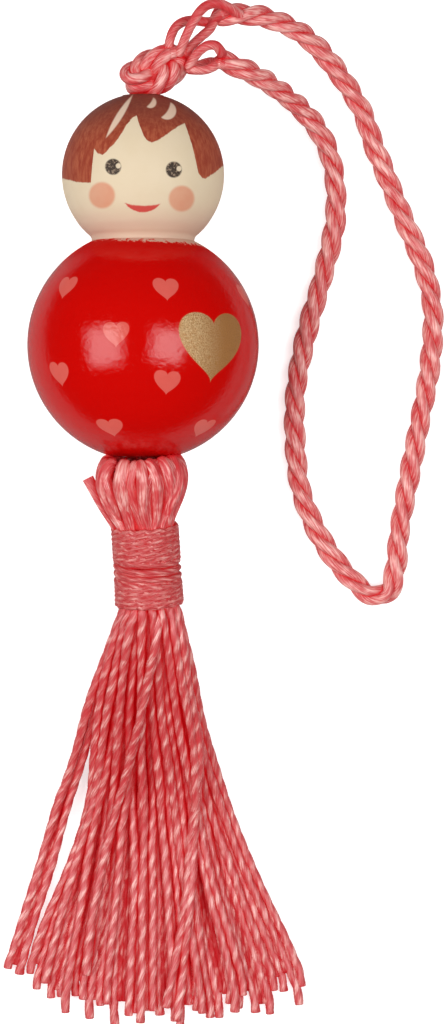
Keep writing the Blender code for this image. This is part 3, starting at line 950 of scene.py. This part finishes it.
# Strands that open out between the knot and the two legs of the cord, ending on a strand of a leg
# Each: the end of the cord that it meets, which of the cord's strands, and its route from the knot
LOOSE_STRANDS = {
    "opened_strand_high": (
        0, 0,
        ((0.0023, 0.0628, 0.0160), (0.0021, 0.0640, 0.0166), (0.0024, 0.0653, 0.0166), (0.0030, 0.0664, 0.0163),
         (0.0040, 0.0671, 0.0158), (0.0052, 0.0673, 0.0154), (0.0064, 0.0672, 0.0151), (0.0075, 0.0672, 0.0150)),
    ),
    "opened_strand_over": (
        0, 1,
        ((0.0034, 0.0628, 0.0170), (0.0039, 0.0641, 0.0178), (0.0048, 0.0660, 0.0184), (0.0060, 0.0680, 0.0184),
         (0.0072, 0.0690, 0.0180), (0.0085, 0.0692, 0.0174), (0.0097, 0.0688, 0.0168)),
    ),
    "opened_strand_inner": (
        0, 2,
        ((0.0042, 0.0630, 0.0158), (0.0051, 0.0641, 0.0160), (0.0063, 0.0652, 0.0160), (0.0074, 0.0663, 0.0156)),
    ),
    "opened_strand_curl": (
        1, 0,
        ((0.0046, 0.0612, 0.0160), (0.0053, 0.0623, 0.0168), (0.0061, 0.0632, 0.0174), (0.0071, 0.0638, 0.0177),
         (0.0081, 0.0638, 0.0175), (0.0087, 0.0632, 0.0168)),
    ),
    "opened_strand_low": (
        1, 1,
        ((0.0046, 0.0609, 0.0156), (0.0056, 0.0608, 0.0160), (0.0068, 0.0609, 0.0159), (0.0079, 0.0614, 0.0156)),
    ),
    "opened_strand_under": (
        1, 2,
        ((0.0046, 0.0614, 0.0142), (0.0058, 0.0617, 0.0138), (0.0074, 0.0621, 0.0140)),
    ),
}


def make_loose_strands(silk, rope):
    for name, (end, strand, route) in LOOSE_STRANDS.items():
        line, _ = rope[strand]
        first = 7 if name == "opened_strand_over" else 0
        meeting = line[first:] if end == 0 else line[::-1][first:]
        points = smooth_line([*route, meeting[0], meeting[3]], 0.25 * MM)
        girth = np.linspace(0.82, 0.98, len(points)) * ROPE_STRAND
        surface = strand_surface(points, girth, around=14, turn=distance_along(points) / MM * 0.4)
        piece = mesh_piece(name, *surface, silk)
        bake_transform(piece)
        if name == "opened_strand_high":
            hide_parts("opened_strands")


# Knot ------------------------------------------------------------------------------------------------

KNOT_LEAN = math.radians(30)
KNOT_STRAND = 0.74 * MM
KNOT_REACH = 0.82 * MM
KNOT_PITCH = 15 * MM
KNOT_SHIFT = (0.35 * MM, -0.45 * MM, 0)


def make_knot(silk, core_silk):
    """The doubled cord pulled into a tight overhand knot that lies on the crown."""
    low, high = node_box("top_knot")
    centre = (low + high) / 2 + KNOT_SHIFT
    along = np.array([math.cos(KNOT_LEAN), math.sin(KNOT_LEAN), 0])
    out = np.array([0, 0, 1.0])
    across = np.cross(out, along)
    t = np.linspace(0, math.tau, 700) + 0.35
    ring = 1.95 + 1.0 * np.cos(3 * t)
    path = (centre + (ring * np.cos(2 * t) * 1.34 * MM)[:, None] * along
            + (ring * np.sin(2 * t) * 0.64 * MM)[:, None] * across
            + (np.sin(3 * t) * 1.45 * MM)[:, None] * out)
    path = resampled(path, 0.25 * MM)
    surfaces = []
    for number, (line, outward) in enumerate(rope_lines(path, KNOT_REACH, KNOT_PITCH)):
        surfaces.append(strand_surface(line, KNOT_STRAND, sides=outward, around=14, start_at=20.0 * number))
    knot = mesh_piece("overhand_knot", *joined_surfaces(surfaces), silk)
    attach(knot, "knot")
    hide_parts("top_knot")
    slopes = np.linspace(0, math.pi, 24)
    profile = [(1.9 * MM * math.sin(a) + 0.01 * MM, 3.6 * MM * math.cos(a)) for a in slopes]
    heart = mesh_piece("knot_heart", *turned_surface(profile, 24, centre, along, out), core_silk)
    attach(heart, "knot")


# Tassel ----------------------------------------------------------------------------------------------

# Middle of the gathered threads: distance from the tassel's axis and along it from the pivot, in mm
GATHER = ((4.15, -5.00), (4.55, -4.90), (4.95, -4.30), (5.18, -3.4), (5.20, -2.6), (5.0, -1.5), (4.5, 0.0),
          (3.90, 1.6), (3.45, 3.0), (3.32, 3.9), (3.30, 4.8))
GATHER_LOCKS = 28

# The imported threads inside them, hollow round the end knot: mm from the axis, and mm towards the bead
CORE_MOUTH = ((4.35, 3.8), (4.75, 2.9))
CORE_HOLLOW = ((3.3, -14.0), (0.3, -14.0), (0.3, -4.6), (2.7, -3.6), (3.6, -1.5), (3.9, 1.0), (3.95, 3.8))
CORE_SHOULDER = -1.9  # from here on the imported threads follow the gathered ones
BINDING_STRAND = 0.37 * MM
CROSSED_TURNS = 13  # crossing turns each way near both ends of the binding


def tassel_point(across, along, out):
    """A place given in mm across, along and out of the face of the tassel, from its pivot."""
    return PIVOT + (across * TASSEL_SIDE + along * TASSEL_HEADING + out * TASSEL_FACE) * MM


def line_about_tassel(reaches, alongs, angles):
    """A line through places given in mm from the tassel's axis, mm from its pivot, and angle from its face."""
    places = zip(reaches, alongs, angles)
    return np.array([tassel_point(r * math.sin(a), s, r * math.cos(a)) for r, s, a in places])


def lock_section(angles):
    return 1 + 0.09 * np.cos(6 * angles) + 0.04 * np.cos(11 * angles + 1.0)


def make_gathered_threads(silk, core_silk):
    """Locks of loose silk that bulge under the bead and draw in to the waist."""
    profile = smooth_line([(r, s, 0) for r, s in GATHER], 0.25)
    surfaces = []
    share = np.linspace(0, 1, len(profile))
    for lock in range(GATHER_LOCKS):
        start = math.tau * (lock + 0.28 * math.sin(3.1 * lock)) / GATHER_LOCKS
        angle = start + 0.15 * math.sin(1.9 * lock + 0.5) * share + 0.03 * np.sin(8 * share + lock)
        angle += 0.26 * math.sin(2.3 * lock) * np.sin(math.pi * share)
        puff = 0.08 * math.sin(5.3 * lock)
        reach = profile[:, 0] * (1 + puff * np.sin(share * math.pi))
        line = resampled(line_about_tassel(reach, profile[:, 1], angle), 0.25 * MM)
        widest = 0.80 * MM * (1 + 0.25 * math.sin(2.7 * lock))
        girth = np.interp(np.linspace(0, 1, len(line)), share, profile[:, 0]) / 5.2
        radii = widest * np.clip(girth, 0.5, 1.0) ** 0.9
        outward = unit(line - (PIVOT + np.outer((line - PIVOT) @ TASSEL_HEADING, TASSEL_HEADING)))
        turn = 0.16 * distance_along(line) / MM + 0.7 * lock
        surfaces.append(strand_surface(line, radii, lock_section, turn=turn, sides=outward, around=24,
                                       start_at=17.0 * lock))
    head = mesh_piece("gathered_threads", *joined_surfaces(surfaces), silk)
    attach(head, "tassel")
    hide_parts("tassel_head")
    outer = [(r, -below) for r, below in profile[:, :2] if below > CORE_SHOULDER]
    outline = [(r * MM, height * MM) for r, height in (*CORE_MOUTH, *outer, *CORE_HOLLOW)]
    surface = turned_surface(outline, 40, PIVOT, -TASSEL_HEADING, TASSEL_SIDE)
    lining = mesh_piece("thread_core", *surface, core_silk)
    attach(lining, "tassel")


def winding(turns, start, end, start_reach, end_reach, phase, wobble=0.0, waves=0.0):
    """A line wound round the tassel: start and end are mm from the pivot, reaches mm from the axis."""
    share = np.linspace(0, 1, int(abs(turns) * 60))
    angle = math.tau * turns * share + phase
    along = start + (end - start) * share + wobble * np.sin(waves * angle + 1.0)
    reach = start_reach + (end_reach - start_reach) * share
    line = line_about_tassel(reach, along, angle)
    outward = np.array([math.sin(a) * TASSEL_SIDE + math.cos(a) * TASSEL_FACE for a in angle])
    return line, outward


def make_binding(silk, tail_silk):
    """Thread wound round the waist in close turns, then crossed over itself near both ends."""
    top, bottom = COLLAR_MIDDLE / MM - COLLAR_HALF / MM, COLLAR_MIDDLE / MM + COLLAR_HALF / MM
    runs = [
        winding(17.0, top + 0.3, bottom - 0.3, 3.68, 3.94, 0.3, 0.12, 0.47),
        winding(4.5, top + 3.6, bottom - 2.4, 4.02, 4.12, 1.0, 0.20, 1.0),
    ]
    for turn in range(CROSSED_TURNS):
        phase = math.tau * turn / CROSSED_TURNS
        for sense, lift in ((1, 0.0), (-1, 0.05)):
            inside, outside = 4.04 + lift, 4.12 + lift
            runs.append(winding(0.52 * sense, top + 0.2, top + 4.4, 4.02 + lift, inside, phase))
            runs.append(winding(-0.40 * sense, bottom - 0.2, bottom - 3.0, outside, inside, phase + 0.3))
    surfaces = []
    for number, (line, outward) in enumerate(runs):
        turn = distance_along(line) / MM * 1.3
        surfaces.append(strand_surface(line, BINDING_STRAND, two_ply_section, turn=turn, sides=outward,
                                       around=12, start_at=90.0 * number))
    binding = mesh_piece("wound_binding", *joined_surfaces(surfaces), silk)
    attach(binding, "tassel")
    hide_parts("collar_binding")
    route = [tassel_point(a, s, o) for a, s, o in ((-3.6, 3.9, 1.0), (-4.2, 2.6, 1.3), (-5.2, 0.6, 1.5),
                                                   (-6.1, -1.4, 1.5), (-6.9, -3.2, 1.3))]
    line = smooth_line(route, 0.2 * MM)
    broad = np.linspace(0.50, 0.78, len(line)) * MM
    flat_side = np.tile(unit(np.cross(TASSEL_HEADING, TASSEL_FACE) + 0.3 * TASSEL_FACE), (len(line), 1))
    surface = strand_surface(line, broad, sides=flat_side, around=14, flatten=0.4, ends=SQUARE_CUT)
    tail = mesh_piece("binding_end", *surface, tail_silk)
    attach(tail, "tassel")
    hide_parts("binding_tail")


def strand_line(name):
    """Middle of a strand's CAD tube, cut across at even steps along the doll's axis."""
    mesh = frame["nodes"][name].data
    points = np.array([v.co for v in mesh.vertices])
    edges = np.array([e.vertices for e in mesh.edges])
    ends = points[edges]
    low, high = points[:, 1].min(), points[:, 1].max()
    line = []
    for y in np.linspace(high - 0.35 * MM, low + 0.05 * MM, 26):
        a, b = ends[:, 0], ends[:, 1]
        crossing = (a[:, 1] - y) * (b[:, 1] - y) < 0
        share = ((y - a[crossing, 1]) / (b[crossing, 1] - a[crossing, 1]))[:, None]
        cut = a[crossing] + share * (b[crossing] - a[crossing])
        line.append((cut.min(axis=0) + cut.max(axis=0)) / 2)
    return np.array(line)


def drawn_in_at_top(line):
    """The line with its start held close to the tassel's axis, where the binding squeezes it."""
    reached = (line - PIVOT) @ TASSEL_HEADING
    centre = PIVOT + np.outer(reached, TASSEL_HEADING)
    apart = np.linalg.norm(line - centre, axis=1)
    allowed = 3.15 * MM + np.maximum(0, reached - 13.8 * MM) * 0.45
    share = np.minimum(1, allowed / np.maximum(apart, 1e-9))
    return centre + (line - centre) * share[:, None]


SKIRT_LENGTH = 57 * MM
GAP_AFTER = 2  # a wide gap opens after this many threads from the left

# Where threads part and show those beneath: between which two, how far in mm, and over what share of the fall
PARTINGS = (
    (7.5, 0.45, 0.20, 0.95),
    (13.5, 0.75, 0.30, 1.25),
    (19.5, 0.65, 0.45, 1.30),
    (26.5, 0.70, 0.35, 1.10),
    (31.5, 0.45, 0.45, 1.20),
)


def arranged_threads():
    """The skirt's thread lines from left to right: its right side drawn in, with a gap on its left."""
    names = sorted(name for name in frame["nodes"] if name.startswith("tassel_strand_"))
    laid = []
    for name in names:
        line = strand_line(name)
        line = smooth_line(np.vstack([line[0] - TASSEL_HEADING * 1.6 * MM, line]), 0.36 * MM)
        laid.append([name, line])
    laid.sort(key=lambda pair: pair[1][-1, 0])
    mouth = PIVOT + TASSEL_HEADING * 14.2 * MM
    for number, pair in enumerate(laid):
        line = drawn_in_at_top(pair[1])
        pair[1] = line
        fall = np.clip((mouth[1] - line[:, 1]) / SKIRT_LENGTH, 0, 1)
        middle = mouth[0] + fall * SKIRT_LENGTH * TASSEL_HEADING[0]
        aside = line[:, 0] - middle
        drawn_in = 1 - 1.85 * fall * (1 - fall) ** 2
        line[:, 0] = middle + np.where(aside > 0, aside * drawn_in, aside)
        if number >= GAP_AFTER:
            spread = np.sin(math.pi * np.clip((fall - 0.17) / 0.68, 0, 1)) ** 2
            line[:, 0] += 1.75 * MM * spread * math.exp(-(number - GAP_AFTER) / 3.0)
        for place, amount, first, last in PARTINGS:
            opened = np.sin(math.pi * np.clip((fall - first) / (last - first), 0, 1)) ** 2
            side = number - place
            line[:, 0] += amount * MM * opened * math.copysign(math.exp(-abs(side) / 1.6), side)
        if number < 8:
            short = round((1.9 - 0.22 * number) / 0.36)
            pair[1] = line[: len(line) - short]
    return laid




def thread_surface(line, radius, number):
    """A two-ply thread with an uneven, slightly flared cut end."""
    along = distance_along(line)
    line = line.copy()
    line[:, 0] += 0.06 * MM * np.sin(along / (3.1 * MM) + number) * np.minimum(along / (8 * MM), 1)
    radii = radius * (1 + 0.08 * np.sin(along / (2.2 * MM) + 2 * number))
    flare = np.clip((along - along[-1] + 1.6 * MM) / (1.6 * MM), 0, 1)
    radii = radii * (1 + 0.05 * flare)
    line[:, 2] = np.maximum(line[:, 2], radii)
    turn = along / MM * 1.2 + 1.7 * number
    return strand_surface(line, radii, two_ply_section, turn=turn, around=12, start_at=13.0 * number,
                          ends=BLUNT)


def make_skirt(silk, shaded_inner_silk):
    """Each strand is a two-ply thread that leaves the binding and lies along its CAD strand."""
    laid = arranged_threads()
    for number, (name, line) in enumerate(laid):
        piece = mesh_piece(f"silk_thread_{number + 1:02d}", *thread_surface(line, 0.60 * MM, number), silk)
        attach(piece, "tassel")
        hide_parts(name)
    lower = []
    for number in range(len(laid) - 1):
        if number == GAP_AFTER - 1:
            continue
        left, right = laid[number][1], laid[number + 1][1]
        count = min(len(left), len(right))
        for share in (0.33, 0.67):
            line = left[:count] * (1 - share) + right[:count] * share
            line[:, 2] = np.maximum(line[:, 2] * 0.7 - 0.4 * MM, 0.5 * MM)
            cut = 2 + number % 5
            lower.append(thread_surface(line[:-cut], 0.50 * MM, number + 40 * share))
    # painted shade: the threads beneath are drawn in the darker, shaded copy of the thread silk
    beneath = mesh_piece("lower_threads", *joined_surfaces(lower), shaded_inner_silk)
    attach(beneath, "tassel")
    make_crossing_threads(silk, laid)


# Threads that lie across the others: (x, y) places in mm, from the binding to the cut end
CROSSING = {
    "crossing_thread_1": (
        (2.6, -7.4), (3.4, -11.4), (4.0, -14.8), (4.7, -19.5), (5.5, -23.5), (6.0, -27.7), (5.7, -32.3),
        (5.2, -36.8), (4.6, -41.6), (4.2, -46.2), (3.5, -51.5), (2.7, -56.1), (1.5, -61.8),
    ),
    "crossing_thread_2": (
        (2.0, -7.4), (3.4, -16.0), (4.8, -24.0), (5.4, -31.0), (5.4, -37.0), (5.1, -42.0), (4.7, -47.5),
        (4.1, -54.2), (3.5, -59.5), (2.8, -63.6),
    ),
    "crossing_thread_3": (
        (1.0, -7.4), (0.4, -13.0), (-0.4, -17.0), (-1.2, -20.5), (-2.5, -25.9), (-3.8, -31.4), (-5.0, -35.3),
        (-6.3, -40.0), (-7.2, -44.0), (-8.2, -49.5), (-9.2, -57.5),
    ),
}


def make_crossing_threads(silk, laid):
    """They rest on whatever lies beneath them."""
    under = np.vstack([line for _, line in laid])
    for number, (name, route) in enumerate(CROSSING.items()):
        line = smooth_line([(x * MM, y * MM, 0) for x, y in route], 0.36 * MM)
        top = []
        for x, y, _ in line:
            near = np.hypot(under[:, 0] - x, under[:, 1] - y) < 1.1 * MM
            top.append(under[near, 2].max() if near.any() else 0.6 * MM)
        window = np.ones(15) / 15
        risen = np.clip(distance_along(line) / (6 * MM), 0, 1)
        resting = np.convolve(np.pad(top, 7, mode="edge"), window, mode="valid")
        line[:, 2] = resting + (1.75 * risen - 1.05) * MM
        piece = mesh_piece(name, *thread_surface(line, 0.62 * MM, 50 + number), silk)
        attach(piece, "tassel")


# Build -----------------------------------------------------------------------------------------------


def make_floor():
    mesh = bpy.data.meshes.new("table_top")
    corners = [(x * TABLE_HALF, y * TABLE_HALF, 0) for x, y in ((-1, -1), (1, -1), (1, 1), (-1, 1))]
    mesh.from_pydata(corners, [], [(0, 1, 2, 3)])
    material, tree, shader = new_material("table_white")
    seen = node(tree, "ShaderNodeLightPath").outputs
    place = node(tree, "ShaderNodeTexCoord").outputs["Object"]
    reach = node(tree, "ShaderNodeVectorMath", {0: place}, operation="LENGTH").outputs["Value"]
    near = ease(tree, reach, TABLE_FAR, TABLE_NEAR)
    in_gloss = blend_colour(tree, near, TABLE_FAR_IN_GLOSS, TABLE_NEAR_IN_GLOSS)
    shade = blend_colour(tree, seen["Is Glossy Ray"], TABLE_WHITE, in_gloss)
    tree.links.new(shade, shader.inputs["Base Color"])
    shader.inputs["Roughness"].default_value = 0.9
    shader.inputs["Specular IOR Level"].default_value = 0.0
    shader.inputs["Emission Color"].default_value = (1.0, 1.0, 1.0, 1.0)
    glow = calc(tree, "MULTIPLY", seen["Is Camera Ray"], TABLE_GLOW)
    tree.links.new(glow, shader.inputs["Emission Strength"])
    mesh.materials.append(material)
    floor = bpy.data.objects.new("table_top", mesh)
    bpy.context.scene.collection.objects.link(floor)


def finish_inner_cord(core_silk):
    for name in ("core_cord", "core_end_knot"):
        inner = frame["nodes"][name]
        inner.data.materials.clear()
        inner.data.materials.append(core_silk)


def make_scene():
    bpy.context.scene.view_settings.view_transform = "Standard"
    make_camera()
    rope_silk = make_silk("silk_rope", 1, slant=-0.14, fineness=2.5, deep_share=0.8, patches=0.25)
    thread_silk = make_silk("silk_thread", 2, slant=0.10, fineness=2.0, deep_share=0.75, patches=0.60,
                            lustre=0.85)
    # painted shade: a darker, deep red copy of the thread silk for the threads that lie beneath the others
    lower_silk_shaded = make_silk("silk_lower_shaded", 2, slant=0.12, fineness=2.0, deep_share=0.9, patches=1.0, shade=0.85,
                           lustre=0.25, glow=0.10)
    lock_silk = make_silk("silk_lock", 0, slant=0.03, fineness=2.6, patches=0.6)
    # painted shade: the binding's silk drawn darker with shade 0.88
    binding_silk = make_silk("silk_binding", 2, slant=0.12, fineness=1.6, deep_share=0.6, patches=0.5,
                             shade=0.88)
    core_silk = make_core_silk()
    rope = make_cord(rope_silk)
    make_loose_strands(rope_silk, rope)
    make_knot(rope_silk, core_silk)
    make_body()
    make_head()
    make_gathered_threads(lock_silk, core_silk)
    make_binding(binding_silk, thread_silk)
    make_skirt(thread_silk, lower_silk_shaded)
    finish_inner_cord(core_silk)
    make_floor()
    make_soft_boxes()
    make_surroundings()


make_scene()
